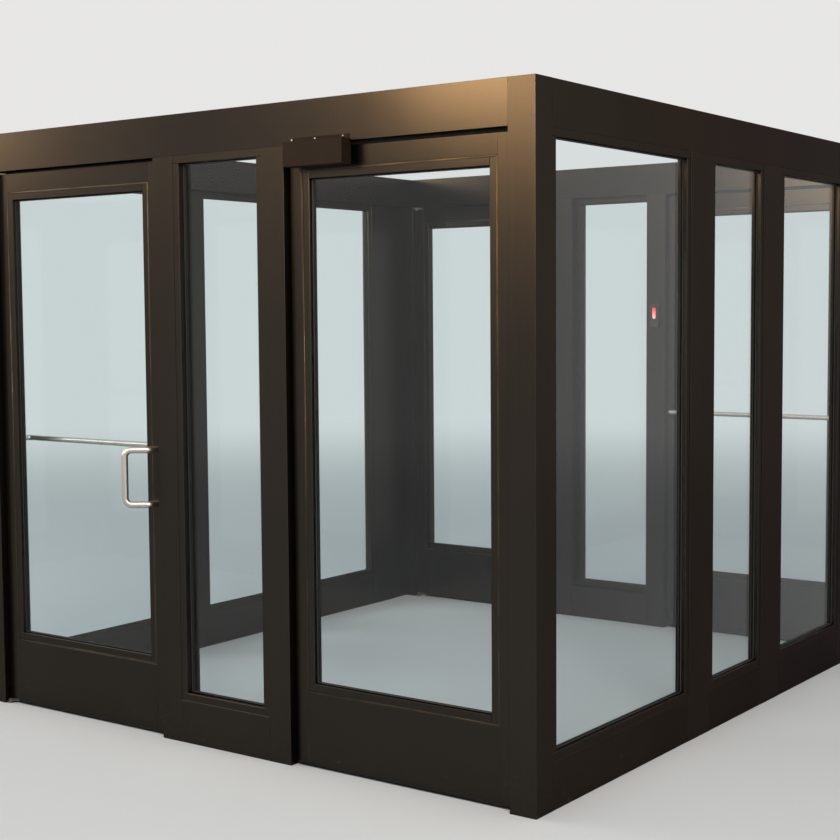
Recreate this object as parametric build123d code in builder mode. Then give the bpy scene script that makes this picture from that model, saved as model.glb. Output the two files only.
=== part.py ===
from build123d import *
import os

os.makedirs("parts", exist_ok=True)

# Driving dimensions, in millimetres. The origin is the plan's centre, on the floor.
# Aluminium tube members: corner posts, mullions, headers and sills are all one depth.
member = 100.0
tube_wall = 3.0
edge_break = 1.0
overall_height = 2315.0
header_height = 150.0
sill_height = 160.0

# Front and rear walls: a door, a sidelight and a door between the corner posts
door_opening = 914.0
door_mullion = 100.0
sidelight_opening = 433.0

# Side walls, from the front: three fixed lights, each with a mullion behind, then a closure
front_light = 970.0
middle_light = 470.0
rear_light = 667.0
side_mullion = 178.0
closure_width = 119.0
closure_setback = 6.0

# Fixed glazing: a pane in a slot between an outer and an inner stop
glass_thickness = 6.0
stop_width = 28.0
stop_setback = 2.0
stop_depth = 52.0
stop_wall = 1.8
stop_edge = 2.0
front_glass_setback = 30.0
side_glass_setback = 21.0
glass_edge_gap = 8.0
slot_clearance = 0.3

# Door leaves: hollow stiles and rails, with stops that hold the pane
leaf_thickness = 44.5
hinge_gap = 5.0
latch_gap = 7.0
floor_gap = 17.0
head_gap = 9.0
leaf_wall = 2.5
stile_face = 50.0
top_rail_face = 73.0
bottom_rail_face = 250.0
leaf_stop_width = 32.0
leaf_stop_setback = 2.0
leaf_glass_edge_gap = 6.0

# Offset pivots: each axis stands outside the leaf's swing face and off the jamb
pivot_from_jamb = 12.0
pivot_offset = 8.5
pin_radius = 6.0
pin_clearance = 0.1
arm_boss_radius = 10.5
arm_neck = 40.0
arm_length = 110.0
arm_inset = 6.0
tongue_inset = 10.0
plate_boss_radius = 12.0
plate_length = 55.0
floor_plate_thickness = 8.0
head_plate_thickness = 4.2
pivot_running_gap = 0.3
pin_short_of_leaf = 0.5
head_pin_length = 12.0

# Back-to-back furniture of the leaves that swing out, bent from round bar. The bar is drawn
# with narrow flats round it, which keeps its many bends light.
bar_flats = 16
root_from_edge = 29.0
pull_radius = 12.5
pull_centres = 205.0
pull_height = 986.0
pull_leg = 42.0
pull_projection = 98.0
pull_shift = 68.0
pull_elbow = 22.0
pull_bend = 26.0
push_radius = 11.0
push_projection = 62.0
push_bend = 24.0

# Magnetic lock of the leaves that swing in
lock_length = 254.0
lock_from_jamb = 35.0
lock_drop = 77.0
lock_rise = 7.0
lock_projection = 40.0
lock_return = 10.0
lock_edge_radius = 2.0
flange_rise = 16.0
flange_thickness = 3.0
armature_length = 200.0
armature_height = 60.0
armature_thickness = 12.0
armature_below_top = 5.0
armature_corner = 4.0

# Card reader on a rear mullion, facing the vestibule
reader_width = 45.0
reader_height = 112.0
reader_depth = 20.0
reader_centre_height = 1563.0
reader_corner = 4.0
reader_edge = 2.5

# Sizes that follow from the driving ones
half_width = member + door_opening + door_mullion + sidelight_opening / 2
opening_top = overall_height - header_height
light_widths = (front_light, middle_light, rear_light)
half_depth = member + (sum(light_widths) + 3 * side_mullion + closure_width) / 2
post_x = half_width - member / 2
post_y = half_depth - member / 2
door_mullion_x = (sidelight_opening + door_mullion) / 2

light_centres = []
side_mullion_centres = []
light_start = member - half_depth
for light_width in light_widths:
    light_centres.append(light_start + light_width / 2)
    side_mullion_centres.append(light_start + light_width + side_mullion / 2)
    light_start += light_width + side_mullion
closure_centre = light_start + closure_width / 2

leaf_width = door_opening - hinge_gap - latch_gap
leaf_top = opening_top - head_gap
leaf_height = leaf_top - floor_gap
leaf_setback = (member - leaf_thickness) / 2

# Each wall's plane stands on the floor at its outer face: X along the wall, Y going inward
front_wall = Plane((0, -half_depth, 0), x_dir=(1, 0, 0), z_dir=(0, 0, 1))
rear_wall = Plane((0, half_depth, 0), x_dir=(-1, 0, 0), z_dir=(0, 0, 1))
side_lights = []
for centre, light_width in zip(light_centres, light_widths):
    for side in (1, -1):
        plane = Plane((side * half_width, centre, 0), x_dir=(0, side, 0), z_dir=(0, 0, 1))
        side_lights.append((plane, light_width))

# Each leaf's plane stands on the floor at its hinge edge: X to the latch edge, Y away from
# the side that it swings to. Diagonally opposite leaves are one leaf turned half round.
hinge_edge_x = half_width - member - hinge_gap
outward_face_y = half_depth - leaf_setback
inward_face_y = outward_face_y - leaf_thickness
leaf_planes = {
    "front_left": Plane((-hinge_edge_x, -outward_face_y, 0), x_dir=(1, 0, 0), z_dir=(0, 0, 1)),
    "front_right": Plane((hinge_edge_x, -inward_face_y, 0), x_dir=(-1, 0, 0), z_dir=(0, 0, 1)),
    "rear_left": Plane((-hinge_edge_x, inward_face_y, 0), x_dir=(1, 0, 0), z_dir=(0, 0, 1)),
    "rear_right": Plane((hinge_edge_x, outward_face_y, 0), x_dir=(-1, 0, 0), z_dir=(0, 0, 1)),
}
outward_leaves = ("front_left", "rear_right")
inward_leaves = ("front_right", "rear_left")
pivot_x = pivot_from_jamb - hinge_gap
pivot_y = -pivot_offset


def bar_section(width, height):
    """Rectangle with its corners broken, in the sketch being drawn."""
    x, y = width / 2, height / 2
    long_x, long_y = x - edge_break, y - edge_break
    right_side = [(long_x, -y), (x, -long_y), (x, long_y), (long_x, y)]
    left_side = [(-long_x, y), (-x, long_y), (-x, -long_y), (-long_x, -y)]
    Polygon(*right_side, *left_side)


def tube_section(width, height, wall=tube_wall):
    """Hollow rectangular section with broken outer corners, in the sketch being drawn."""
    bar_section(width, height)
    Rectangle(width - 2 * wall, height - 2 * wall, mode=Mode.SUBTRACT)


def stop_section(width, thickness):
    """Channel that opens along +X to the member behind it, with its front corners broken."""
    x, y = width / 2, thickness / 2
    broken_x, broken_y = x - stop_edge, y - stop_edge
    outside = [(x, y), (-broken_x, y), (-x, broken_y), (-x, -broken_y), (-broken_x, -y), (x, -y)]
    x_in, y_in = x - stop_wall, y - stop_wall
    inside = [(x, -y_in), (-x_in, -y_in), (-x_in, y_in), (x, y_in)]
    Polygon(*outside, *inside)


def across(plane):
    """The upright plane through a standing plane's origin, square to its X."""
    return Plane(plane.origin, x_dir=plane.y_dir, z_dir=plane.x_dir)


def facing(plane):
    """The upright plane through a standing plane's origin that faces along its Y."""
    return Plane(plane.origin, x_dir=-plane.x_dir, z_dir=plane.y_dir)


# Corner posts: square tubes on the floor, closed at the top
corners = {
    "front_right": (1, -1),
    "front_left": (-1, -1),
    "rear_right": (1, 1),
    "rear_left": (-1, 1),
}
for corner, (side_x, side_y) in corners.items():
    with BuildPart() as corner_post:
        with BuildSketch():
            with Locations((side_x * post_x, side_y * post_y)):
                bar_section(member, member)
        extrude(amount=overall_height)
        with BuildSketch():
            with Locations((side_x * post_x, side_y * post_y)):
                Rectangle(member - 2 * tube_wall, member - 2 * tube_wall)
        extrude(amount=overall_height - tube_wall, mode=Mode.SUBTRACT)
    corner_post.part.label = f"{corner}_corner_post"
    export_step(corner_post.part, f"parts/{corner}_corner_post.step")

# Front and rear headers: tubes that butt between the corner posts
header_z = opening_top + header_height / 2
for wall_name, side_y in (("front", -1), ("rear", 1)):
    with BuildPart() as header:
        with BuildSketch(Plane.YZ.offset(member - half_width)):
            with Locations((side_y * post_y, header_z)):
                tube_section(member, header_height)
        extrude(amount=2 * (half_width - member))
    header.part.label = f"{wall_name}_header"
    export_step(header.part, f"parts/{wall_name}_header.step")

# Side headers: the same tube, running front to rear
for wall_name, side_x in (("right", 1), ("left", -1)):
    with BuildPart() as header:
        with BuildSketch(Plane.XZ.offset(half_depth - member)):
            with Locations((side_x * post_x, header_z)):
                tube_section(member, header_height)
        extrude(amount=-2 * (half_depth - member))
    header.part.label = f"{wall_name}_header"
    export_step(header.part, f"parts/{wall_name}_header.step")

# Door mullions: the posts on both sides of each sidelight, under the header
with BuildPart() as door_mullions:
    with BuildSketch():
        with GridLocations(2 * door_mullion_x, 2 * post_y, 2, 2):
            tube_section(door_mullion, member)
    extrude(amount=opening_top)
door_mullions.part.label = "door_mullions"
export_step(door_mullions.part, "parts/door_mullions.step")

# Side mullions: wider tubes behind each fixed light of the side walls
with BuildPart() as side_mullions:
    with BuildSketch():
        for centre in side_mullion_centres:
            with Locations((-post_x, centre), (post_x, centre)):
                tube_section(member, side_mullion)
    extrude(amount=opening_top)
side_mullions.part.label = "side_mullions"
export_step(side_mullions.part, "parts/side_mullions.step")

# Sills: tubes on the floor below each fixed light
with BuildPart() as sidelight_sills:
    with BuildSketch(Plane.YZ.offset(-sidelight_opening / 2)):
        with Locations((-post_y, sill_height / 2), (post_y, sill_height / 2)):
            tube_section(member, sill_height)
    extrude(amount=sidelight_opening)
sidelight_sills.part.label = "sidelight_sills"
export_step(sidelight_sills.part, "parts/sidelight_sills.step")

with BuildPart() as side_sills:
    for centre, light_width in zip(light_centres, light_widths):
        with BuildSketch(Plane.XZ.offset(light_width / 2 - centre)):
            with Locations((-post_x, sill_height / 2), (post_x, sill_height / 2)):
                tube_section(member, sill_height)
        extrude(amount=-light_width)
side_sills.part.label = "side_sills"
export_step(side_sills.part, "parts/side_sills.step")

# Closure panels: shallower tubes that fill the side walls up to the rear corner posts
with BuildPart() as closure_panels:
    with BuildSketch():
        with Locations((-post_x, closure_centre), (post_x, closure_centre)):
            tube_section(member - 2 * closure_setback, closure_width)
    extrude(amount=opening_top)
closure_panels.part.label = "closure_panels"
export_step(closure_panels.part, "parts/closure_panels.step")

# Fixed lights: stops round each pane inside and out, and the pane in the slot between them
sidelights = [(front_wall, sidelight_opening), (rear_wall, sidelight_opening)]
low_bar_height = sill_height + stop_width / 2
high_bar_height = opening_top - stop_width / 2
upright_start = sill_height + stop_width + slot_clearance
upright_end = opening_top - stop_width - slot_clearance
for group, lights, glass_setback in (
    ("sidelight", sidelights, front_glass_setback),
    ("side", side_lights, side_glass_setback),
):
    slot_start = glass_setback - slot_clearance
    slot_end = glass_setback + glass_thickness + slot_clearance
    with BuildPart() as stops:
        for plane, width in lights:
            for near, far in ((stop_setback, slot_start), (slot_end, stop_depth)):
                middle = (near + far) / 2
                with BuildSketch(across(plane).offset(-width / 2)):
                    with Locations((middle, (low_bar_height + high_bar_height) / 2)):
                        reach = (high_bar_height - low_bar_height) / 2
                        with PolarLocations(reach, 2, start_angle=90):
                            stop_section(stop_width, far - near)
                extrude(amount=width)
                with BuildSketch(plane.offset(upright_start)):
                    with Locations((0, middle)):
                        with PolarLocations((width - stop_width) / 2, 2):
                            stop_section(stop_width, far - near)
                extrude(amount=upright_end - upright_start)
    stops.part.label = f"{group}_stops"
    export_step(stops.part, f"parts/{group}_stops.step")

    with BuildPart() as glass:
        for plane, width in lights:
            with BuildSketch(plane.offset(sill_height + glass_edge_gap)):
                with Locations((0, glass_setback + glass_thickness / 2)):
                    Rectangle(width - 2 * glass_edge_gap, glass_thickness)
            extrude(amount=opening_top - sill_height - 2 * glass_edge_gap)
    glass.part.label = f"{group}_glass"
    export_step(glass.part, f"parts/{group}_glass.step")

# Door leaves: the stiles run full height with their stops between the rails
leaf_slot = glass_thickness + 2 * slot_clearance
leaf_stop_thickness = (leaf_thickness - leaf_slot) / 2 - leaf_stop_setback
leaf_stop_spacing = leaf_slot + leaf_stop_thickness
leaf_centre = (leaf_width / 2, leaf_thickness / 2)
for leaf, plane in leaf_planes.items():
    with BuildPart() as stiles:
        with BuildSketch(plane.offset(floor_gap)):
            with Locations(leaf_centre):
                with GridLocations(leaf_width - stile_face, 0, 2, 1):
                    tube_section(stile_face, leaf_thickness, leaf_wall)
        extrude(amount=leaf_height)
        with BuildSketch(plane.offset(floor_gap + bottom_rail_face)):
            with Locations(leaf_centre):
                with GridLocations(0, leaf_stop_spacing, 1, 2):
                    with PolarLocations((leaf_width - leaf_stop_width) / 2 - stile_face, 2):
                        stop_section(leaf_stop_width, leaf_stop_thickness)
        extrude(amount=leaf_height - bottom_rail_face - top_rail_face)
    stiles.part.label = f"{leaf}_stiles"
    export_step(stiles.part, f"parts/{leaf}_stiles.step")

# Leaf rails: butted between the stiles, with their stops between the stiles' stops
bottom_rail_top = floor_gap + bottom_rail_face
top_rail_bottom = leaf_top - top_rail_face
for leaf, plane in leaf_planes.items():
    with BuildPart() as rails:
        with BuildSketch(across(plane).offset(stile_face)):
            with Locations((leaf_thickness / 2, bottom_rail_top - bottom_rail_face / 2)):
                tube_section(leaf_thickness, bottom_rail_face, leaf_wall)
            with Locations((leaf_thickness / 2, top_rail_bottom + top_rail_face / 2)):
                tube_section(leaf_thickness, top_rail_face, leaf_wall)
        extrude(amount=leaf_width - 2 * stile_face)
        stop_reach = (top_rail_bottom - bottom_rail_top - leaf_stop_width) / 2
        with BuildSketch(across(plane).offset(stile_face + leaf_stop_width)):
            with Locations((leaf_thickness / 2, (top_rail_bottom + bottom_rail_top) / 2)):
                with GridLocations(leaf_stop_spacing, 0, 2, 1):
                    with PolarLocations(stop_reach, 2, start_angle=90):
                        stop_section(leaf_stop_width, leaf_stop_thickness)
        extrude(amount=leaf_width - 2 * (stile_face + leaf_stop_width))
    rails.part.label = f"{leaf}_rails"
    export_step(rails.part, f"parts/{leaf}_rails.step")

# Leaf panes: let into the slot between the stops on all four sides
for leaf, plane in leaf_planes.items():
    with BuildPart() as glass:
        with BuildSketch(plane.offset(bottom_rail_top + leaf_glass_edge_gap)):
            with Locations(leaf_centre):
                Rectangle(leaf_width - 2 * (stile_face + leaf_glass_edge_gap), glass_thickness)
        extrude(amount=top_rail_bottom - bottom_rail_top - 2 * leaf_glass_edge_gap)
    glass.part.label = f"{leaf}_glass"
    export_step(glass.part, f"parts/{leaf}_glass.step")

# Pivot arms: a tongue under and over the hinge stile, with a bored boss at the axis
floor_arm_start = floor_plate_thickness + pivot_running_gap
head_arm_end = opening_top - head_plate_thickness - pivot_running_gap
arm_spans = ((floor_arm_start, floor_gap), (leaf_top, head_arm_end))
for leaf, plane in leaf_planes.items():
    with BuildPart() as pivot_arms:
        for start, end in arm_spans:
            with BuildSketch(plane.offset(start)):
                with Locations((pivot_x, pivot_y)):
                    Circle(arm_boss_radius)
                with Locations((arm_inset, leaf_thickness / 2)):
                    neck_width = leaf_thickness - 2 * arm_inset
                    Rectangle(arm_neck, neck_width, align=(Align.MIN, Align.CENTER))
                make_hull()
                with Locations((arm_inset, leaf_thickness / 2)):
                    tongue_width = leaf_thickness - 2 * tongue_inset
                    Rectangle(arm_length, tongue_width, align=(Align.MIN, Align.CENTER))
                with Locations((pivot_x, pivot_y)):
                    Circle(pin_radius + pin_clearance, mode=Mode.SUBTRACT)
            extrude(amount=end - start)
    pivot_arms.part.label = f"{leaf}_pivot_arms"
    export_step(pivot_arms.part, f"parts/{leaf}_pivot_arms.step")

# Pivot brackets: plates on the floor and under the header, each with its pin
with BuildPart() as pivot_brackets:
    for plane in leaf_planes.values():
        for start, thickness in (
            (0, floor_plate_thickness),
            (opening_top - head_plate_thickness, head_plate_thickness),
        ):
            with BuildSketch(plane.offset(start)):
                with Locations((pivot_x, pivot_y)):
                    Circle(plate_boss_radius)
                with Locations((-hinge_gap, pivot_y - plate_boss_radius)):
                    Rectangle(pivot_from_jamb, plate_length, align=(Align.MIN, Align.MIN))
                make_hull()
            extrude(amount=thickness)
        with BuildSketch(plane.offset(floor_plate_thickness)):
            with Locations((pivot_x, pivot_y)):
                Circle(pin_radius)
        extrude(amount=floor_gap - pin_short_of_leaf - floor_plate_thickness)
        with BuildSketch(plane.offset(opening_top - head_plate_thickness - head_pin_length)):
            with Locations((pivot_x, pivot_y)):
                Circle(pin_radius)
        extrude(amount=head_pin_length)
pivot_brackets.part.label = "pivot_brackets"
export_step(pivot_brackets.part, "parts/pivot_brackets.step")

# Handles, through-bolted back to back near the leaf's edges. Outside is a pull: a round bar
# whose two arms leave the stile square and then lean towards the hinge, clear of the jamb.
# Inside is a round push bar across the whole leaf, at the height of the pull's upper arm.
pull_root_x = leaf_width - root_from_edge
grip_x = pull_root_x - pull_shift
pull_low = pull_height - pull_centres / 2
pull_high = pull_height + pull_centres / 2
push_face = leaf_thickness + push_projection
for leaf in outward_leaves:
    plane = leaf_planes[leaf]
    with BuildPart() as handles:
        with BuildLine(plane) as pull_path:
            FilletPolyline(
                (pull_root_x, 0, pull_low),
                (pull_root_x, -pull_leg, pull_low),
                (grip_x, -pull_projection, pull_low),
                (grip_x, -pull_projection, pull_high),
                (pull_root_x, -pull_leg, pull_high),
                (pull_root_x, 0, pull_high),
                radius=(pull_elbow, pull_bend, pull_bend, pull_elbow),
            )
        with BuildSketch(Plane(pull_path.line @ 0, z_dir=pull_path.line % 0)):
            RegularPolygon(pull_radius, bar_flats)
        sweep()
        with BuildLine(plane) as push_path:
            FilletPolyline(
                (root_from_edge, leaf_thickness, pull_high),
                (root_from_edge, push_face, pull_high),
                (pull_root_x, push_face, pull_high),
                (pull_root_x, leaf_thickness, pull_high),
                radius=push_bend,
            )
        with BuildSketch(Plane(push_path.line @ 0, z_dir=push_path.line % 0)):
            RegularPolygon(push_radius, bar_flats)
        sweep(path=push_path.line)
    handles.part.label = f"{leaf}_handles"
    export_step(handles.part, f"parts/{leaf}_handles.step")

# Lock armatures: steel plates on the top rail, facing the magnets
lock_start = door_opening - hinge_gap - lock_from_jamb - lock_length
lock_centre = lock_start + lock_length / 2
for leaf in inward_leaves:
    with BuildPart() as armature:
        with BuildSketch(facing(leaf_planes[leaf]).offset(leaf_thickness)):
            with Locations((-lock_centre, leaf_top - armature_below_top - armature_height / 2)):
                RectangleRounded(armature_length, armature_height, armature_corner)
        extrude(amount=armature_thickness)
    armature.part.label = f"{leaf}_armature"
    export_step(armature.part, f"parts/{leaf}_armature.step")

# Lock housings: hung from the header's outer face and underside, by a flange above
wall_face = leaf_thickness + leaf_setback
lock_bottom = opening_top - lock_drop
lock_top = opening_top + lock_rise
flange_top = lock_top + flange_rise
with BuildPart() as lock_housings:
    for leaf in inward_leaves:
        with BuildSketch(across(leaf_planes[leaf]).offset(lock_start)):
            with BuildLine():
                Polyline(
                    (wall_face - lock_return, lock_bottom),
                    (wall_face + lock_projection, lock_bottom),
                    (wall_face + lock_projection, lock_top),
                    (wall_face + flange_thickness, lock_top),
                    (wall_face + flange_thickness, flange_top),
                    (wall_face, flange_top),
                    (wall_face, opening_top),
                    (wall_face - lock_return, opening_top),
                    close=True,
                )
            make_face()
            fillet(vertices().group_by(Axis.X)[-1], lock_edge_radius)
        extrude(amount=lock_length)
lock_housings.part.label = "lock_housings"
export_step(lock_housings.part, "parts/lock_housings.step")

# Card reader: a small closed box on the rear mullion's inner face
reader_plane = Plane(
    (door_mullion_x, half_depth - member, reader_centre_height), x_dir=(1, 0, 0), z_dir=(0, -1, 0)
)
with BuildPart() as card_reader:
    with BuildSketch(reader_plane):
        Rectangle(reader_width, reader_height)
        chamfer(vertices(), reader_corner)
    extrude(amount=reader_depth)
    chamfer(faces().sort_by(Axis.Y)[0].edges(), reader_edge)
card_reader.part.label = "card_reader"
export_step(card_reader.part, "parts/card_reader.step")
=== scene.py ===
import math

import bmesh
import bpy
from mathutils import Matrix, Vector


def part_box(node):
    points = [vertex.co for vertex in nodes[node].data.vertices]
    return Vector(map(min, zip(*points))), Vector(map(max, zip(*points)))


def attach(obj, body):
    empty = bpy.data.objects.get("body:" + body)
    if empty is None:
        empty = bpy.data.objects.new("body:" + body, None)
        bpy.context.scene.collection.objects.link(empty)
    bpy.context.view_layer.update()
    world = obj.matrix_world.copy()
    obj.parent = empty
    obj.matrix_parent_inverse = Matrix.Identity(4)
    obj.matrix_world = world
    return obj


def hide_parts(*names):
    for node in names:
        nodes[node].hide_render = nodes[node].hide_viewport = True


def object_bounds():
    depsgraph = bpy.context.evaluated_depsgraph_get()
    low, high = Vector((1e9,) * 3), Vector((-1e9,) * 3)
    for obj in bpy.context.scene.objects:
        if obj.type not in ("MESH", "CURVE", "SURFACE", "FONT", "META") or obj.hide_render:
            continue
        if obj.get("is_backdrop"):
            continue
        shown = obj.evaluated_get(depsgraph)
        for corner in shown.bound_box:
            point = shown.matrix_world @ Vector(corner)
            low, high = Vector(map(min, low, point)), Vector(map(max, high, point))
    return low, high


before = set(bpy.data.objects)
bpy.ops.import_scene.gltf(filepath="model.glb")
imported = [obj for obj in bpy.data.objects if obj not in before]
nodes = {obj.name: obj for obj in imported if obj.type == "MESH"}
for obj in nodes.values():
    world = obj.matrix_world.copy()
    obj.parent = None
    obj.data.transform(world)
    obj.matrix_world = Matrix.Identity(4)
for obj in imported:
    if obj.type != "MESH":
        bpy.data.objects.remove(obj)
cad_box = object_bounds()

# The viewpoint: eye height, out in front of the right-hand corner, with a long lens, so that
# the front wall and the right wall are both seen at a slant. Angles are in degrees.
eye = (3.824, -5.518, 1.600)
eye_turns = (85.9209, 0.4110, 35.9777)
camera = bpy.data.objects.new("camera", bpy.data.cameras.new("camera"))
bpy.context.scene.collection.objects.link(camera)
bpy.context.scene.camera = camera
camera.location = eye
camera.rotation_euler = [math.radians(angle) for angle in eye_turns]
camera.data.sensor_width = 36
camera.data.lens = 65.93
camera.data.clip_end = 200
bpy.context.scene.view_settings.view_transform = "Standard"

# Corner posts: square aluminium tubes, extruded and then anodised dark bronze, cut to full
# height. Drawn tube keeps faint lines along its length, and its arrises are painted paler: in
# part rubbed-down metal, in part a painted highlight along each edge. Feet and kick height
# carry pale dusty scuffs from shoes and mops.
bronze_dark = (0.0245, 0.0203, 0.0170, 1)
bronze_light = (0.0390, 0.0325, 0.0270, 1)
bronze_wear_and_highlight = (0.1250, 0.0950, 0.0720, 1)
bronze_slant = (0.380, 0.350, 0.320, 1)
scuff_grey = (0.0900, 0.0830, 0.0760, 1)
arris_reach = 0.0016
line_pitch = 420
scuff_height = 0.22


class Value:
    """A number that varies over a surface or a shape. Sums on it add their own Math nodes."""

    def __init__(self, wiring, socket):
        self.wiring = wiring
        self.socket = socket

    def math(self, operation, first, second):
        made = self.wiring.add("ShaderNodeMath", {"operation": operation}, {0: first, 1: second})
        return Value(self.wiring, made[0])

    def __add__(self, other):
        return self.math("ADD", self, other)

    def __sub__(self, other):
        return self.math("SUBTRACT", self, other)

    def __rsub__(self, other):
        return self.math("SUBTRACT", other, self)

    def __mul__(self, other):
        return self.math("MULTIPLY", self, other)

    def __pow__(self, other):
        return self.math("POWER", self, other)

    __radd__ = __add__
    __rmul__ = __mul__


class Wiring:
    """A node tree being wired, for a finish or for a shape. Every node in it is made by add."""

    def add(self, kind, settings, sockets):
        """A new node with its settings, then its sockets set to a value or a link."""
        node = self.tree.nodes.new(kind)
        for setting, value in settings.items():
            setattr(node, setting, value)
        for key, value in sockets.items():
            source = value.socket if isinstance(value, Value) else value
            if isinstance(source, bpy.types.NodeSocket):
                self.tree.links.new(source, node.inputs[key])
            else:
                node.inputs[key].default_value = source
        return node.outputs


class Finish(Wiring):
    """A material being mixed, or the light of a world."""

    def __init__(self, name, made=None):
        self.made = made or bpy.data.materials.new(name)
        self.made.use_nodes = True
        self.tree = self.made.node_tree
        self.tree.nodes.clear()

    def noise(self, stretch, detail=2.0):
        """Cloudy value about 0.5, with so many clouds a metre along each axis."""
        place = self.add("ShaderNodeTexCoord", {}, {})["Object"]
        scaled = {0: place, 1: stretch}
        place = self.add("ShaderNodeVectorMath", {"operation": "MULTIPLY"}, scaled)[0]
        clouds = {"Vector": place, "Scale": 1.0, "Detail": detail}
        return Value(self, self.add("ShaderNodeTexNoise", {}, clouds)[0])

    def place(self, axis):
        """How far along X, Y or Z the surface lies, in metres."""
        place = self.add("ShaderNodeTexCoord", {}, {})["Object"]
        return Value(self, self.add("ShaderNodeSeparateXYZ", {}, {0: place})[axis])

    def rise(self, value, low, high):
        """0 where the value is under low, 1 where it is over high, eased between."""
        limits = {"Value": value, "From Min": low, "From Max": high}
        eased = {"interpolation_type": "SMOOTHSTEP"}
        return Value(self, self.add("ShaderNodeMapRange", eased, limits)[0])

    def mix(self, share, low, high):
        """A colour that goes from low to high with the share."""
        return self.add("ShaderNodeMix", {"data_type": "RGBA"}, {0: share, 6: low, 7: high})[2]

    def arrises(self, reach):
        """1 along edges and 0 on flat faces."""
        flat = self.add("ShaderNodeNewGeometry", {}, {})["Normal"]
        eased = self.add("ShaderNodeBevel", {"samples": 6}, {"Radius": reach})[0]
        pair = {0: flat, 1: eased}
        alike = self.add("ShaderNodeVectorMath", {"operation": "DOT_PRODUCT"}, pair)["Value"]
        return self.rise(1 - Value(self, alike), 0.02, 0.22)

    def bump(self, height, strength, depth):
        """Surface normal for a fine relief."""
        relief = {"Height": height, "Strength": strength, "Distance": depth}
        return self.add("ShaderNodeBump", {}, relief)[0]

    def surface(self, sockets):
        """Ends the finish in a Principled surface."""
        return self.end(self.add("ShaderNodeBsdfPrincipled", {}, sockets)[0])

    def end(self, shader, output="ShaderNodeOutputMaterial"):
        """Wires the shader to the output, which makes the finish ready for use."""
        self.add(output, {}, {"Surface": shader})
        return self.made


def dress(material, *names):
    """Gives the named CAD pieces a finish."""
    for name in names:
        nodes[name].data.materials.clear()
        nodes[name].data.materials.append(material)


def bronze(name, run, smoothest):
    """Dark bronze anodised aluminium, drawn along X, Y or Z, or in no one direction."""
    finish = Finish(name)
    stretch = [1.3 if axis == run else line_pitch for axis in range(3)]
    lines = finish.noise(stretch, 3.0)
    clouds = finish.noise((2.2, 2.2, 1.4), 3.0)
    grit = finish.noise((900, 900, 900), 1.0)
    # Arrises: a paler colour along every edge, partly wear and partly a painted edge highlight.
    edge_wear_and_highlight = finish.arrises(arris_reach) * finish.rise(finish.noise((14, 14, 14)), 0.30, 0.62)
    low = 1 - finish.rise(finish.place(2), 0.02, scuff_height)
    marks = finish.rise(finish.noise((34, 34, 95), 6.0), 0.56, 0.78)
    scuffed = low * marks * 0.22
    tone = finish.mix(lines * 0.45 + clouds * 0.75 - 0.1, bronze_dark, bronze_light)
    tone = finish.mix(scuffed, tone, scuff_grey)
    tone = finish.mix(edge_wear_and_highlight * 0.8, tone, bronze_wear_and_highlight)
    return finish.surface({
        "Base Color": tone,
        "Metallic": 0.95 - scuffed * 0.6,
        "Roughness": lines * 0.08 + clouds * 0.10 + scuffed * 0.3 - edge_wear_and_highlight * 0.05 + smoothest,
        "Specular Tint": bronze_slant,
        "Coat Weight": 0.08,
        "Coat Roughness": 0.25,
        "Normal": finish.bump(lines * 0.7 + grit * 0.3, 0.12, 0.0002),
    })


upright_bronze = bronze("upright_bronze", 2, 0.21)
dress(
    upright_bronze,
    "front_right_corner_post", "front_left_corner_post",
    "rear_right_corner_post", "rear_left_corner_post",
)

# Headers and sills: tubes of the same bronze, laid level between the posts and mullions, so
# their drawn lines run along the wall. They came off the die a little smoother.
along_front_bronze = bronze("along_front_bronze", 0, 0.13)
dress(along_front_bronze, "front_header", "rear_header", "sidelight_sills")
along_side_bronze = bronze("along_side_bronze", 1, 0.13)
dress(along_side_bronze, "right_header", "left_header")

# Door mullions: the full-depth tubes either side of each sidelight. They stand under the
# headers, and the leaves hang and latch on them.
dress(upright_bronze, "door_mullions")

# Glazing stops: snap-in channels that hold the panes, mitre-free, upright and level alike, so
# their bronze has no one direction.
stop_bronze = bronze("stop_bronze", None, 0.21)
dress(stop_bronze, "sidelight_stops")

# Side walls: mullions, sills, closure panels and stops in tube of the doors' own depth, flush
# with the posts outdoors. Each piece is its CAD piece, merged, with whatever lies further
# indoors than the pane moved out, so that hollows, walls and broken corners stay.
outer_face = cad_box[1][0]
tube_middle, tube_cut = 0.050, 0.0555
stop_middle, stop_cut = 0.0396, 0.0095
weld = 1e-5


def merged(node):
    """The shape of a CAD piece, with its loose triangles joined."""
    shape = bmesh.new()
    shape.from_mesh(nodes[node].data)
    bmesh.ops.remove_doubles(shape, verts=shape.verts, dist=weld)
    return shape


def cast(name, shape, material):
    """A finished shape as a mesh of one material."""
    mesh = bpy.data.meshes.new(name)
    shape.to_mesh(mesh)
    shape.free()
    mesh.materials.append(material)
    return mesh


def add_piece(name, mesh, body):
    """A new piece, which rides on a body."""
    piece = bpy.data.objects.new(name, mesh)
    bpy.context.scene.collection.objects.link(piece)
    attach(piece, body)
    return piece


def slimmed(node, middle, cut, material):
    """The CAD piece with its indoor half, further in than the middle, moved out."""
    shape = merged(node)
    for vertex in shape.verts:
        if outer_face - abs(vertex.co.x) > middle:
            vertex.co.x += math.copysign(cut, vertex.co.x)
    name = f"slim_{node}"
    piece = add_piece(name, cast(name, shape, material), "frame")
    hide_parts(node)


slimmed("side_mullions", tube_middle, tube_cut, upright_bronze)
slimmed("closure_panels", tube_middle, tube_cut, upright_bronze)
slimmed("side_sills", tube_middle, tube_cut, along_side_bronze)
slimmed("side_stops", stop_middle, stop_cut, stop_bronze)

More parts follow.
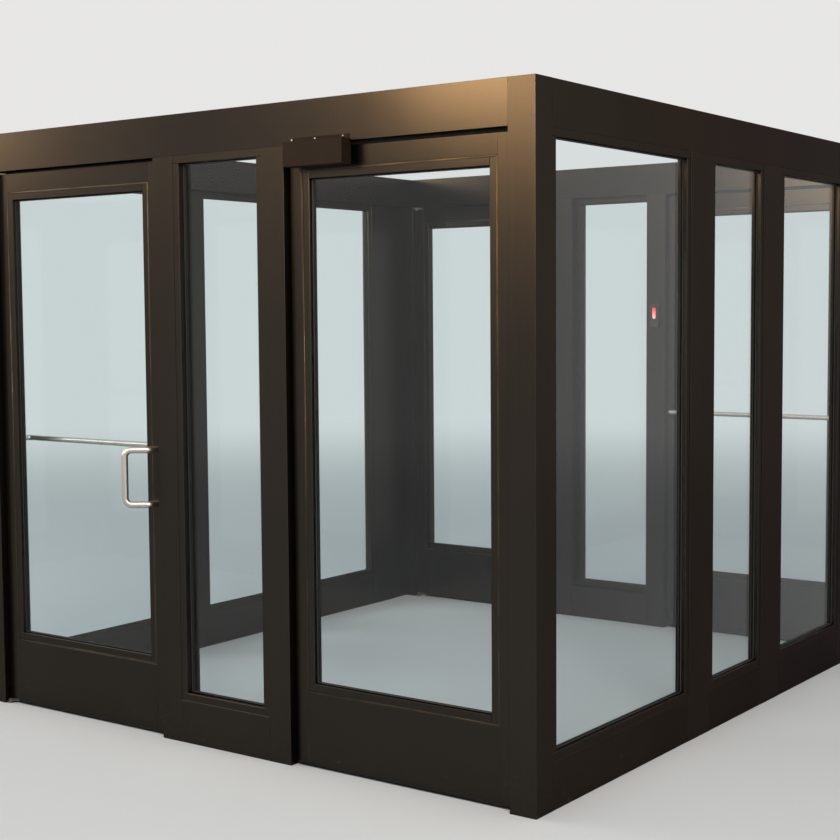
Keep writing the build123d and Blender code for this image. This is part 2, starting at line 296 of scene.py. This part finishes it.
# Door leaves: hollow stiles and rails with their own glazing stops, and a deep bottom rail for
# the kicks. All four are alike: those marked 1 hang by their edge at low X and swing towards
# low Y, and those marked -1 are the same leaf turned half round.
leaves = {"front_left": 1, "front_right": -1, "rear_left": 1, "rear_right": -1}
for leaf in leaves:
    dress(upright_bronze, f"{leaf}_stiles")
    dress(along_front_bronze, f"{leaf}_rails")

# Panes: clear 6 mm float glass, faintly blue-green, with a slight roller wave in its
# reflections, which finger marks at hand height blur.
pane_tint = (0.930, 0.962, 0.968, 1)
head_on = 0.026


def glass(name):
    """Clear glass: what is behind shows through a tint, and the face mirrors at a slant."""
    finish = Finish(name)
    wave = finish.bump(finish.noise((2.5, 2.5, 1.1), 0.0), 0.15, 0.002)
    smears = finish.rise(finish.noise((9, 9, 13), 4.0), 0.45, 0.85)
    height = finish.place(2)
    hand_high = finish.rise(height, 0.70, 1.05) * (1 - finish.rise(height, 1.25, 1.70))
    blur = smears * (hand_high * 0.14 + 0.03) + 0.005
    clear = finish.add("ShaderNodeBsdfTransparent", {}, {"Color": pane_tint})[0]
    mirror = finish.add("ShaderNodeBsdfAnisotropic", {}, {"Roughness": blur, "Normal": wave})[0]
    facing = Value(finish, finish.add("ShaderNodeLayerWeight", {}, {"Blend": 0.5})["Facing"])
    slant = facing ** 5 * (1 - head_on) + head_on
    return finish.end(finish.add("ShaderNodeMixShader", {}, {0: slant, 1: clear, 2: mirror})[0])


clear_glass = glass("clear_glass")
dress(clear_glass, "sidelight_glass", "side_glass", *[f"{leaf}_glass" for leaf in leaves])

# Glazing gaskets: a black rubber bead pressed into the corner between each stop and the face
# of its pane, all the way round, inside and out.
bead_radius = 0.0022
bead_corner = 0.006
fixed_cover, leaf_cover = 0.020, 0.026
rubber_black = (0.006, 0.006, 0.006, 1)
rubber_bloom = (0.022, 0.021, 0.020, 1)


def rubber(name):
    """Black synthetic rubber, matt, with a greyer bloom where it has dried."""
    finish = Finish(name)
    dried = finish.rise(finish.noise((30, 30, 30), 3.0), 0.40, 0.75)
    tone = finish.mix(dried, rubber_black, rubber_bloom)
    return finish.surface({"Base Color": tone, "Roughness": 0.62 + dried * 0.2})


def solid_boxes(name):
    """Lowest and highest corner of each separate solid of a CAD piece."""
    shape = merged(name)
    unseen = set(shape.verts)
    found = []
    for start in shape.verts:
        if start not in unseen:
            continue
        unseen.remove(start)
        group = [start]
        for vertex in group:
            for edge in vertex.link_edges:
                other = edge.other_vert(vertex)
                if other in unseen:
                    unseen.remove(other)
                    group.append(other)
        corners = [vertex.co for vertex in group]
        low = Vector([min(corner[axis] for corner in corners) for axis in range(3)])
        high = Vector([max(corner[axis] for corner in corners) for axis in range(3)])
        found.append((low, high))
    shape.free()
    return found


class Recipe(Wiring):
    """A Geometry Nodes tree with named inputs, for what repeats or follows an edge."""

    def __init__(self, name, inputs):
        self.tree = bpy.data.node_groups.new(name, "GeometryNodeTree")
        self.named = {}
        solid = "NodeSocketGeometry"
        for label, kind in {"Geometry": solid, **inputs}.items():
            item = self.tree.interface.new_socket(label, in_out="INPUT", socket_type=kind)
            self.named[label] = item.identifier
        self.tree.interface.new_socket("Geometry", in_out="OUTPUT", socket_type=solid)
        self.inputs = self.tree.nodes.new("NodeGroupInput").outputs

    def size(self, label):
        """A named input that sums can be worked on."""
        return Value(self, self.inputs[label])

    def end(self, geometry, material):
        """Ends the tree: instances made real, one material, then the output."""
        real = self.add("GeometryNodeRealizeInstances", {}, {0: geometry})[0]
        coat = {"Geometry": real, "Material": material}
        coated = self.add("GeometryNodeSetMaterial", {}, coat)[0]
        self.add("NodeGroupOutput", {}, {0: coated})

    def make(self, name, points, edges, values, body, slot, noted={}):
        """Runs the tree on loose points or edges, and keeps the result as a plain mesh."""
        sketch = bpy.data.meshes.new(f"{name}_sketch")
        sketch.from_pydata(points, edges, [])
        for label, numbers in noted.items():
            sketch.attributes.new(label, "FLOAT", "POINT").data.foreach_set("value", numbers)
        worker = bpy.data.objects.new(f"{name}_sketch", sketch)
        bpy.context.scene.collection.objects.link(worker)
        modifier = worker.modifiers.new("recipe", "NODES")
        modifier.node_group = self.tree
        for label, value in values.items():
            modifier[self.named[label]] = value
        evaluated = worker.evaluated_get(bpy.context.evaluated_depsgraph_get())
        mesh = bpy.data.meshes.new_from_object(evaluated)
        worker.modifiers.remove(modifier)
        bpy.data.objects.remove(worker)
        return add_piece(name, mesh, body)


gasket = Recipe("gasket", {
    "Bead radius": "NodeSocketFloat",
    "Bead spread": "NodeSocketFloat",
    "Corner radius": "NodeSocketFloat",
    "Finish": "NodeSocketMaterial",
})
line = gasket.add("GeometryNodeMeshToCurve", {}, {0: gasket.inputs["Geometry"]})[0]
eased = {"Curve": line, "Radius": gasket.inputs["Corner radius"], "Count": 3}
line = gasket.add("GeometryNodeFilletCurve", {"mode": "POLY"}, eased)[0]
round_bead = {"Resolution": 8, "Radius": gasket.inputs["Bead radius"]}
profile = gasket.add("GeometryNodeCurvePrimitiveCircle", {}, round_bead)[0]
spread = {0: 1.0, 1: gasket.inputs["Bead spread"], 2: 1.0}
spread = gasket.add("ShaderNodeCombineXYZ", {}, spread)[0]
profile = gasket.add("GeometryNodeTransform", {}, {"Geometry": profile, "Scale": spread})[0]
swept = gasket.add("GeometryNodeCurveToMesh", {}, {0: line, 1: profile})[0]
smooth = gasket.add("GeometryNodeSetShadeSmooth", {}, {0: swept})[0]
gasket.end(smooth, gasket.inputs["Finish"])


def pane_outlines(name, inset, proud):
    """Rectangles before both faces of every pane of a CAD piece, so far in from its edges."""
    points, edges = [], []
    for low, high in solid_boxes(name):
        size = high - low
        thin = min(range(3), key=lambda axis: size[axis])
        wide = 1 - thin
        across = (low[wide] + inset, high[wide] - inset)
        upward = (low[2] + inset, high[2] - inset)
        for level in (low[thin] - proud, high[thin] + proud):
            first = len(points)
            for at, height in ((0, 0), (1, 0), (1, 1), (0, 1)):
                corner = [0.0, 0.0, upward[height]]
                corner[thin] = level
                corner[wide] = across[at]
                points.append(corner)
            edges += [(first + step, first + (step + 1) % 4) for step in range(4)]
    return points, edges


bead = {
    "Bead radius": bead_radius,
    "Bead spread": 1.0,
    "Corner radius": bead_corner,
    "Finish": rubber("gasket_rubber"),
}
for name, cover, body in (
    ("sidelight_glass", fixed_cover, "frame"),
    ("side_glass", fixed_cover, "frame"),
    *[(f"{leaf}_glass", leaf_cover, f"{leaf}_leaf") for leaf in leaves],
):
    points, edges = pane_outlines(name, cover + bead_radius, bead_radius)
    gasket.make(name.replace("glass", "gaskets"), points, edges, bead, body, "black_plastic")

# Stop lips: the rolled outer edge of each leaf's snap-in stops, a flat rib along the step to
# the stiles and rails. Its paler brass colour is a painted highlight, the bright line that
# light draws along it.
lip_radius = 0.0018
lip_spread = 1.9
lip_beyond_pane = 0.0035
lip_before_pane = 0.01725
lip_highlight_dim = (0.033, 0.026, 0.019, 1)
lip_highlight_bright = (0.088, 0.068, 0.047, 1)


def lip_highlight_finish(name):
    """Bronze lifted to a paler brass colour in patches: a painted highlight along the lip."""
    finish = Finish(name)
    rubbed = finish.rise(finish.noise((9, 9, 9), 4.0), 0.30, 0.72)
    streaks = finish.noise((160, 160, 160), 2.0)
    # Painted highlight: the lip's whole colour is lifted above the bronze around it.
    tone = finish.mix(rubbed * 0.7 + streaks * 0.3, lip_highlight_dim, lip_highlight_bright)
    return finish.surface({
        "Base Color": tone,
        "Metallic": 1.0,
        "Roughness": 0.30 + streaks * 0.12 - rubbed * 0.06,
    })


lip = {
    "Bead radius": lip_radius,
    "Bead spread": lip_spread,
    "Corner radius": lip_radius,
    "Finish": lip_highlight_finish("lip_painted_highlight"),
}
for leaf in leaves:
    points, edges = pane_outlines(f"{leaf}_glass", -lip_beyond_pane, lip_before_pane)
    gasket.make(f"{leaf}_stop_lips", points, edges, lip, f"{leaf}_leaf", "dark_bronze")

# Weather strips: black wool pile in grooves along both edges of each leaf's top, under its
# bottom rail and up its two upright edges. Those on the side it swings to clear the pivots.
# A black fin under the header laps the top of the face that the leaf swings away from. Besides
# sealing, its black band stands in for the header's shadow on the top of the leaf: painted
# shade.
strip_width = 0.004
strip_taper = 0.6
strip_from_face = 0.0026
strip_from_end, strip_from_pivot = 0.004, 0.048
head_strip, foot_strip = 0.006, 0.012
latch_strip, hinge_strip = 0.0055, 0.0034
upright_strip_width = 0.010
stop_thickness, stop_drop = 0.003, 0.013
stop_gap, stop_overlap = 0.0012, 0.003
header_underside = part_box("front_header")[0][2]
pile_black = (0.004, 0.004, 0.004, 1)
pile_dusty = (0.018, 0.017, 0.016, 1)


def pile(name):
    """Matt black pile, with the fine upright ridges of its tufts."""
    finish = Finish(name)
    tufts = finish.noise((1100, 1100, 160), 2.0)
    dusty = finish.rise(finish.noise((40, 40, 40), 3.0), 0.45, 0.75)
    return finish.surface({
        "Base Color": finish.mix(dusty * 0.7, pile_black, pile_dusty),
        "Roughness": 0.85 + dusty * 0.1,
        "Specular IOR Level": 0.2,
        "Normal": finish.bump(tufts, 0.5, 0.0006),
    })


strip = Recipe("strip", {"Width": "NodeSocketFloat", "Height": "NodeSocketFloat"})
line = strip.add("GeometryNodeMeshToCurve", {}, {0: strip.inputs["Geometry"]})[0]
tapered = {
    "Offset": 0.0,
    "Height": strip.inputs["Height"],
    "Bottom Width": strip.inputs["Width"],
    "Top Width": strip.size("Width") * strip_taper,
}
wedge = {"mode": "TRAPEZOID"}
profile = strip.add("GeometryNodeCurvePrimitiveQuadrilateral", wedge, tapered)[0]
swept = strip.add("GeometryNodeCurveToMesh", {}, {0: line, 1: profile, "Fill Caps": True})[0]
strip.end(swept, pile("black_pile"))
for leaf, turn in leaves.items():
    low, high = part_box(f"{leaf}_stiles")
    middle_y = (low[1] + high[1]) / 2
    body = f"{leaf}_leaf"
    for name, level, tall in (
        ("head", high[2] + head_strip / 2, head_strip),
        ("foot", low[2] - foot_strip / 2, foot_strip),
    ):
        points = []
        for edge_y in (low[1] + strip_from_face, high[1] - strip_from_face):
            by_pivot = (turn == 1) == (edge_y < middle_y)
            from_hinge = strip_from_pivot if by_pivot else strip_from_end
            from_low, from_high = (from_hinge, strip_from_end)[::turn]
            points += [(low[0] + from_low, edge_y, level), (high[0] - from_high, edge_y, level)]
        size = {"Width": strip_width, "Height": tall}
        pair = [(0, 1), (2, 3)]
        strip.make(f"{leaf}_{name}_strip", points, pair, size, body, "black_plastic")

    # The fin: a seal, and also a black band standing in for the header's shadow on the leaf top.
    far_face = (low[1], high[1])[::turn][1]
    fin = (far_face + turn * (stop_gap + stop_thickness / 2), header_underside - stop_drop / 2)
    points = [(low[0] - stop_overlap, *fin), (high[0] + stop_overlap, *fin)]
    size = {"Width": stop_thickness, "Height": stop_drop}
    strip.make(f"{leaf}_head_stop", points, [(0, 1)], size, "frame", "black_plastic")

    hinge_edge, latch_edge = (low[0], high[0])[::turn]
    for name, edge, outward, thick in (
        ("latch", latch_edge, turn, latch_strip),
        ("hinge", hinge_edge, -turn, hinge_strip),
    ):
        at = (edge + outward * thick / 2, middle_y)
        points = [(*at, low[2] + strip_from_end), (*at, high[2] - strip_from_end)]
        size = {"Width": thick, "Height": upright_strip_width}
        strip.make(f"{leaf}_{name}_strip", points, [(0, 1)], size, body, "black_plastic")

# Pivots: forged steel arms let in under and over each hinge stile, turning on pins in plates
# screwed to the floor and to the header.
steel_tone = (0.130, 0.122, 0.114, 1)
steel_dull = (0.045, 0.041, 0.038, 1)
steel_wear_and_highlight = (0.420, 0.410, 0.390, 1)


def steel(name):
    """Brushed steel with handling marks and darker, rougher patches."""
    finish = Finish(name)
    brushed = finish.noise((700, 700, 60), 2.0)
    dulled = finish.rise(finish.noise((18, 18, 18), 4.0), 0.40, 0.70)
    # Arrises: painted paler, partly wear and partly a painted edge highlight.
    edge_wear_and_highlight = finish.arrises(0.0012)
    tone = finish.mix(dulled * 0.7, steel_tone, steel_dull)
    tone = finish.mix(edge_wear_and_highlight * 0.7, tone, steel_wear_and_highlight)
    return finish.surface({
        "Base Color": tone,
        "Metallic": 1.0,
        "Roughness": 0.28 + brushed * 0.12 + dulled * 0.2,
        "Normal": finish.bump(brushed, 0.10, 0.0002),
    })


pivot_steel = steel("pivot_steel")
dress(pivot_steel, "pivot_brackets", *[f"{leaf}_pivot_arms" for leaf in leaves])

# Handles: round aluminium bar, bent cold and brushed to a satin, then clear anodised. Handling
# leaves it a shade duller and rougher in patches.
satin_tone = (0.560, 0.545, 0.515, 1)
satin_shade = (0.400, 0.388, 0.365, 1)


def satin(name):
    """Satin aluminium: a fine cross-brushed grain under a warm grey."""
    finish = Finish(name)
    grain = finish.noise((1400, 1400, 1400), 2.0)
    bands = finish.noise((260, 260, 40), 2.0)
    rubbed = finish.rise(finish.noise((16, 16, 9), 3.0), 0.35, 0.70)
    tone = finish.mix(bands * 0.5 + rubbed * 0.3, satin_tone, satin_shade)
    return finish.surface({
        "Base Color": tone,
        "Metallic": 1.0,
        "Roughness": 0.27 + grain * 0.08 + rubbed * 0.08,
        "Normal": finish.bump(grain * 0.5 + bands * 0.5, 0.10, 0.0001),
    })


bend_steps = 12
bar = Recipe("bar", {"Bar radius": "NodeSocketFloat"})
line = bar.add("GeometryNodeMeshToCurve", {}, {0: bar.inputs["Geometry"]})[0]
bends = bar.add("GeometryNodeInputNamedAttribute", {"data_type": "FLOAT"}, {"Name": "bend"})[0]
bent = {"Curve": line, "Radius": bends, "Count": bend_steps}
line = bar.add("GeometryNodeFilletCurve", {"mode": "POLY"}, bent)[0]
section = {"Resolution": 32, "Radius": bar.inputs["Bar radius"]}
profile = bar.add("GeometryNodeCurvePrimitiveCircle", {}, section)[0]
swept = bar.add("GeometryNodeCurveToMesh", {}, {0: line, 1: profile, "Fill Caps": True})[0]
bar.end(bar.add("GeometryNodeSetShadeSmooth", {}, {0: swept})[0], satin("satin_aluminium"))

pull_radius, push_radius = 0.0125, 0.011
pull_low, pull_high = 0.8835, 1.0885
outer_side, inner_side = 0, 0.0445
root, grip = 0.873, 0.805
elbow_out, grip_out = -0.042, -0.098
push_end, push_in = 0.029, 0.1065
elbow_bend, grip_bend, push_bend = 0.022, 0.026, 0.024
pull_route = (
    ((root, outer_side, pull_low), 0),
    ((root, elbow_out, pull_low), elbow_bend),
    ((grip, grip_out, pull_low), grip_bend),
    ((grip, grip_out, pull_high), grip_bend),
    ((root, elbow_out, pull_high), elbow_bend),
    ((root, outer_side, pull_high), 0),
)
push_route = (
    ((push_end, inner_side, pull_high), 0),
    ((push_end, push_in, pull_high), push_bend),
    ((root, push_in, pull_high), push_bend),
    ((root, inner_side, pull_high), 0),
)
bars = (("pull", pull_route, pull_radius), ("push_bar", push_route, push_radius))
for leaf in ("front_left", "rear_right"):
    turn = leaves[leaf]
    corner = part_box(f"{leaf}_stiles")[::turn][0]
    for name, route, radius in bars:
        points = [(corner[0] + turn * x, corner[1] + turn * y, z) for (x, y, z), _ in route]
        edges = [(step, step + 1) for step in range(len(route) - 1)]
        piece = bar.make(
            f"{leaf}_{name}", points, edges, {"Bar radius": radius}, f"{leaf}_leaf",
            "satin_aluminium", {"bend": [bend for _, bend in route]},
        )
        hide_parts(f"{leaf}_handles")

# Magnetic locks: enamelled housings hung from the headers by a flange with three screws. The
# steel core shows on the side that meets the armature, whose one bolt leaves it loose.
enamel_dark = (0.0150, 0.0085, 0.0058, 1)
enamel_light = (0.0270, 0.0155, 0.0100, 1)
enamel_chips_and_highlight = (0.120, 0.070, 0.045, 1)


def enamel(name):
    """Dark bronze stove enamel, faintly pebbled, paler along its arrises: partly chips, partly a
    painted edge highlight.
    """
    finish = Finish(name)
    pebbles = finish.noise((420, 420, 420), 1.0)
    clouds = finish.noise((7, 7, 7), 3.0)
    tone = finish.mix(clouds, enamel_dark, enamel_light)
    # Paler arrises: partly chipped enamel, partly a painted edge highlight.
    tone = finish.mix(finish.arrises(0.0012) * 0.5, tone, enamel_chips_and_highlight)
    return finish.surface({
        "Base Color": tone,
        "Roughness": 0.42 + clouds * 0.12,
        "Specular IOR Level": 0.05,
        "Normal": finish.bump(pebbles, 0.15, 0.0003),
    })


dress(enamel("lock_enamel"), "lock_housings")
dress(pivot_steel, "front_right_armature", "rear_left_armature")
screw_tone = (0.620, 0.600, 0.570, 1)


def bright_steel(name):
    """Plated screw steel, clouded by handling."""
    finish = Finish(name)
    clouded = finish.rise(finish.noise((240, 240, 240), 3.0), 0.40, 0.70)
    return finish.surface({
        "Base Color": finish.mix(clouded * 0.6, screw_tone, steel_tone),
        "Metallic": 1.0,
        "Roughness": 0.22 + clouded * 0.2,
    })


screw = Recipe("screw", {
    "Head radius": "NodeSocketFloat",
    "Head height": "NodeSocketFloat",
    "Turn": "NodeSocketVector",
    "Seed": "NodeSocketInt",
})
recess_length, recess_width = 1.15, 0.26
head_radius, head_height = screw.size("Head radius"), screw.size("Head height")
ball = screw.add("GeometryNodeMeshUVSphere", {}, {"Segments": 20, "Rings": 10, "Radius": 1.0})[0]
flat = screw.add("ShaderNodeCombineXYZ", {}, {0: head_radius, 1: head_radius, 2: head_height})[0]
head = screw.add("GeometryNodeTransform", {}, {"Geometry": ball, "Scale": flat})[0]
at_top = screw.add("ShaderNodeCombineXYZ", {}, {2: head_height})[0]
recess = (head_radius * recess_length, head_radius * recess_width)
for long_way, wide_way in (recess, recess[::-1]):
    block = screw.add("ShaderNodeCombineXYZ", {}, {0: long_way, 1: wide_way, 2: head_height})[0]
    block = screw.add("GeometryNodeMeshCube", {}, {"Size": block})[0]
    block = screw.add("GeometryNodeTransform", {}, {"Geometry": block, "Translation": at_top})[0]
    pair = {"Mesh 1": head, "Mesh 2": block}
    head = screw.add("GeometryNodeMeshBoolean", {"operation": "DIFFERENCE"}, pair)[0]
quarter = math.pi / 2
widest_spin = 1.57
limits = {2: 0.0, 3: widest_spin, "Seed": screw.inputs["Seed"]}
spin = screw.add("FunctionNodeRandomValue", {"data_type": "FLOAT"}, limits)[1]
spin = screw.add("ShaderNodeCombineXYZ", {}, {2: spin})[0]
spin = screw.add("FunctionNodeEulerToRotation", {}, {0: spin})[0]
turned = screw.add("FunctionNodeEulerToRotation", {}, {0: screw.inputs["Turn"]})[0]
own_way = {"rotation_space": "LOCAL"}
turned = screw.add("FunctionNodeRotateRotation", own_way, {0: turned, 1: spin})[0]
placed = {"Points": screw.inputs["Geometry"], "Instance": head, "Rotation": turned}
placed = screw.add("GeometryNodeInstanceOnPoints", {}, placed)[0]
screw.end(placed, bright_steel("screw_steel"))


def screw_head(radius, height, turn, seed):
    """The screw's inputs, for a head that faces up at 0 and out of a wall at 1 or -1."""
    facing = (turn * quarter, 0, 0)
    return {"Head radius": radius, "Head height": height, "Turn": facing, "Seed": seed}


flange_screws, flange_screw_level = (0.3585, 0.461, 0.582), 2.181
flange_face = 1.483
for wall, turn in (("front", 1), ("rear", -1)):
    points = [(turn * x, -turn * flange_face, flange_screw_level) for x in flange_screws]
    pan_head = screw_head(0.0034, 0.0021, turn, 3)
    screw.make(f"{wall}_flange_screws", points, [], pan_head, "frame", "pivot_steel")

plate_screws, plate_screw_out = (0.011, 0.027), 0.0025
floor_plate_top = 0.008
points = []
for leaf, turn in leaves.items():
    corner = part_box(f"{leaf}_stiles")[::turn][0]
    for along in plate_screws:
        at = (corner[0] - turn * plate_screw_out, corner[1] + turn * along, floor_plate_top)
        points.append(at)
flat_head = screw_head(0.0023, 0.0013, 0, 8)
screw.make("floor_plate_screws", points, [], flat_head, "frame", "pivot_steel")


def rounded_block(size, middle, radius, steps, along=None):
    """A block with its edges rounded: all of them, or those that run along one axis."""
    shape = bmesh.new()
    bmesh.ops.create_cube(shape, size=1)
    bmesh.ops.scale(shape, verts=shape.verts, vec=size)
    bmesh.ops.translate(shape, verts=shape.verts, vec=middle)
    edges = []
    for edge in shape.edges:
        first, second = (vertex.co for vertex in edge.verts)
        if along is None or abs(first[along] - second[along]) > 1e-4:
            edges.append(edge)
    rounding = {"offset": radius, "segments": steps, "affect": "EDGES", "profile": 0.5}
    bmesh.ops.bevel(shape, geom=edges, **rounding)
    return shape


core_x, core_y = 0.4785, 1.4694
core_low, core_high = 2.098, 2.148
core_size = (0.184, 0.0016, core_high - core_low)
for wall, turn, leaf in (("front", 1, "front_right"), ("rear", -1, "rear_left")):
    middle = (turn * core_x, -turn * core_y, (core_low + core_high) / 2)
    shape = rounded_block(core_size, middle, 0.0005, 2)
    name = f"{wall}_lock_core"
    add_piece(name, cast(name, shape, pivot_steel), "frame")
    low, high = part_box(f"{leaf}_armature")
    face = (low[1], high[1])[::turn][0]
    bolt = [((low[0] + high[0]) / 2, face, (low[2] + high[2]) / 2)]
    bolt_head = screw_head(0.0075, 0.0016, turn, 5)
    screw.make(f"{leaf}_armature_bolt", bolt, [], bolt_head, f"{leaf}_leaf", "pivot_steel")

# Card reader: a small moulded box of matt black plastic, screwed to the rear mullion from
# behind its cover. A red lamp shows through a clear lens under its top edge.
reader_black = (0.012, 0.012, 0.013, 1)
reader_handled = (0.020, 0.020, 0.021, 1)


def plastic(name):
    """Spark-textured black plastic, shinier where fingers and cards touch it."""
    finish = Finish(name)
    texture = finish.noise((1800, 1800, 1800), 2.0)
    handled = finish.rise(finish.noise((45, 45, 30), 3.0), 0.42, 0.70)
    return finish.surface({
        "Base Color": finish.mix(handled, reader_black, reader_handled),
        "Roughness": 0.52 - handled * 0.14,
        "Normal": finish.bump(texture, 0.25, 0.0003),
    })


dress(plastic("black_plastic"), "card_reader")
lamp_red = (0.85, 0.03, 0.03, 1)
lamp_pale = (0.75, 0.30, 0.28, 1)
lamp_half_wide, lamp_half_tall, lamp_proud = 0.0080, 0.027, 0.0012
lamp_corner, lamp_rise = 0.0072, 0.014


def lit_lens(name, low, high):
    """Clear red lens over a lamp, brightest at its top and paler towards its foot."""
    finish = Finish(name)
    upward = finish.rise(finish.place(2), low, high)
    glow = finish.mix(1 - upward, lamp_red, lamp_pale)
    grain = finish.noise((900, 900, 900), 1.0)
    return finish.surface({
        "Base Color": glow,
        "Roughness": 0.15 + grain * 0.1,
        "Emission Color": glow,
        "Emission Strength": 1.6,
    })


low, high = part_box("card_reader")
level = (low[2] + high[2]) / 2 + lamp_rise
middle = ((low[0] + high[0]) / 2, low[1], level)
lens_size = (2 * lamp_half_wide, 2 * lamp_proud, 2 * lamp_half_tall)
lens = rounded_block(lens_size, middle, lamp_corner, 6, 1)
lens_finish = lit_lens("reader_lens", level - lamp_half_tall, level + lamp_half_tall)
add_piece("reader_lamp", cast("reader_lamp", lens, lens_finish), "frame")

# Floor and surroundings: a plain pale floor that fades, some metres out, into a plain pale
# room. The room shows as pale to the eye and in reflections, and lights things more softly.
pale = (0.80, 0.795, 0.78, 1)
floor_tone = (0.74, 0.73, 0.71, 1)
fade_from, fade_to = 4.0, 16.0
bpy.ops.mesh.primitive_plane_add(size=80)
floor = bpy.context.object
floor.name = "floor"
floor_finish = Finish("floor")
matt = floor_finish.add("ShaderNodeBsdfDiffuse", {}, {"Color": floor_tone})[0]
far = floor_finish.add("ShaderNodeEmission", {}, {"Color": pale, "Strength": 1.0})[0]
place = floor_finish.add("ShaderNodeTexCoord", {}, {})["Object"]
reach = floor_finish.add("ShaderNodeVectorMath", {"operation": "LENGTH"}, {0: place})["Value"]
fade = floor_finish.rise(Value(floor_finish, reach), fade_from, fade_to)
faded = floor_finish.add("ShaderNodeMixShader", {}, {0: fade, 1: matt, 2: far})[0]
floor.data.materials.append(floor_finish.end(faded))
floor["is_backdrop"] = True

room_light = (0.92, 0.96, 1.0, 1)
room = Finish("room", bpy.data.worlds.new("room"))
ray = room.add("ShaderNodeLightPath", {}, {})
seen = Value(room, ray["Is Camera Ray"])
for label in ("Is Glossy Ray", "Is Transmission Ray"):
    seen = seen.math("MAXIMUM", seen, ray[label])
lit = room.add("ShaderNodeBackground", {}, {"Color": room_light, "Strength": 0.55})[0]
shown = room.add("ShaderNodeBackground", {}, {"Color": pale, "Strength": 1.0})[0]
choice = room.add("ShaderNodeMixShader", {}, {0: seen, 1: lit, 2: shown})[0]
bpy.context.scene.world = room.end(choice, "ShaderNodeOutputWorld")

# Lamps: a large soft key and a large soft fill for the whole, and three small warm panels that
# only glance off metal and glass, for the glow along the headers, the post and the doors.


def lamp(name, place, target, size, power, colour, diffuse=True):
    """A square soft lamp that faces a point."""
    light = bpy.data.lights.new(name, "AREA")
    light.size = size
    light.energy = power
    light.color = colour
    fixture = bpy.data.objects.new(name, light)
    bpy.context.scene.collection.objects.link(fixture)
    fixture.location = place
    aim = Vector(target) - Vector(place)
    fixture.rotation_euler = aim.to_track_quat("-Z", "Y").to_euler()
    fixture.visible_camera = False
    fixture.visible_diffuse = diffuse


lamp("soft_key", (4.5, -6.0, 6.5), (0, 0, 0.8), 4.0, 330, (1.0, 0.97, 0.93))
lamp("soft_fill", (-6.0, -3.0, 4.5), (0, 0, 1.0), 4.0, 120, (0.92, 0.96, 1.0))
lamp("near_panel", (-0.75, -4.7, 3.35), (0.9, -1.5, 2.2), 1.3, 130, (1.0, 0.68, 0.35), False)
lamp("edge_panel", (5.1, -4.3, 3.2), (1.2, -1.5, 1.9), 1.3, 150, (1.0, 0.78, 0.50), False)
lamp("far_panel", (-6.1, -4.7, 3.35), (-1.2, -1.5, 2.2), 1.3, 50, (1.0, 0.70, 0.38), False)

# Sizes: the box of the CAD model and the box of the dressed vestibule, in metres, are put side
# by side in one record, so that they can be compared.
size = {
    "cad": [list(corner) for corner in cad_box],
    "visual": [list(corner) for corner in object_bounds()],
}
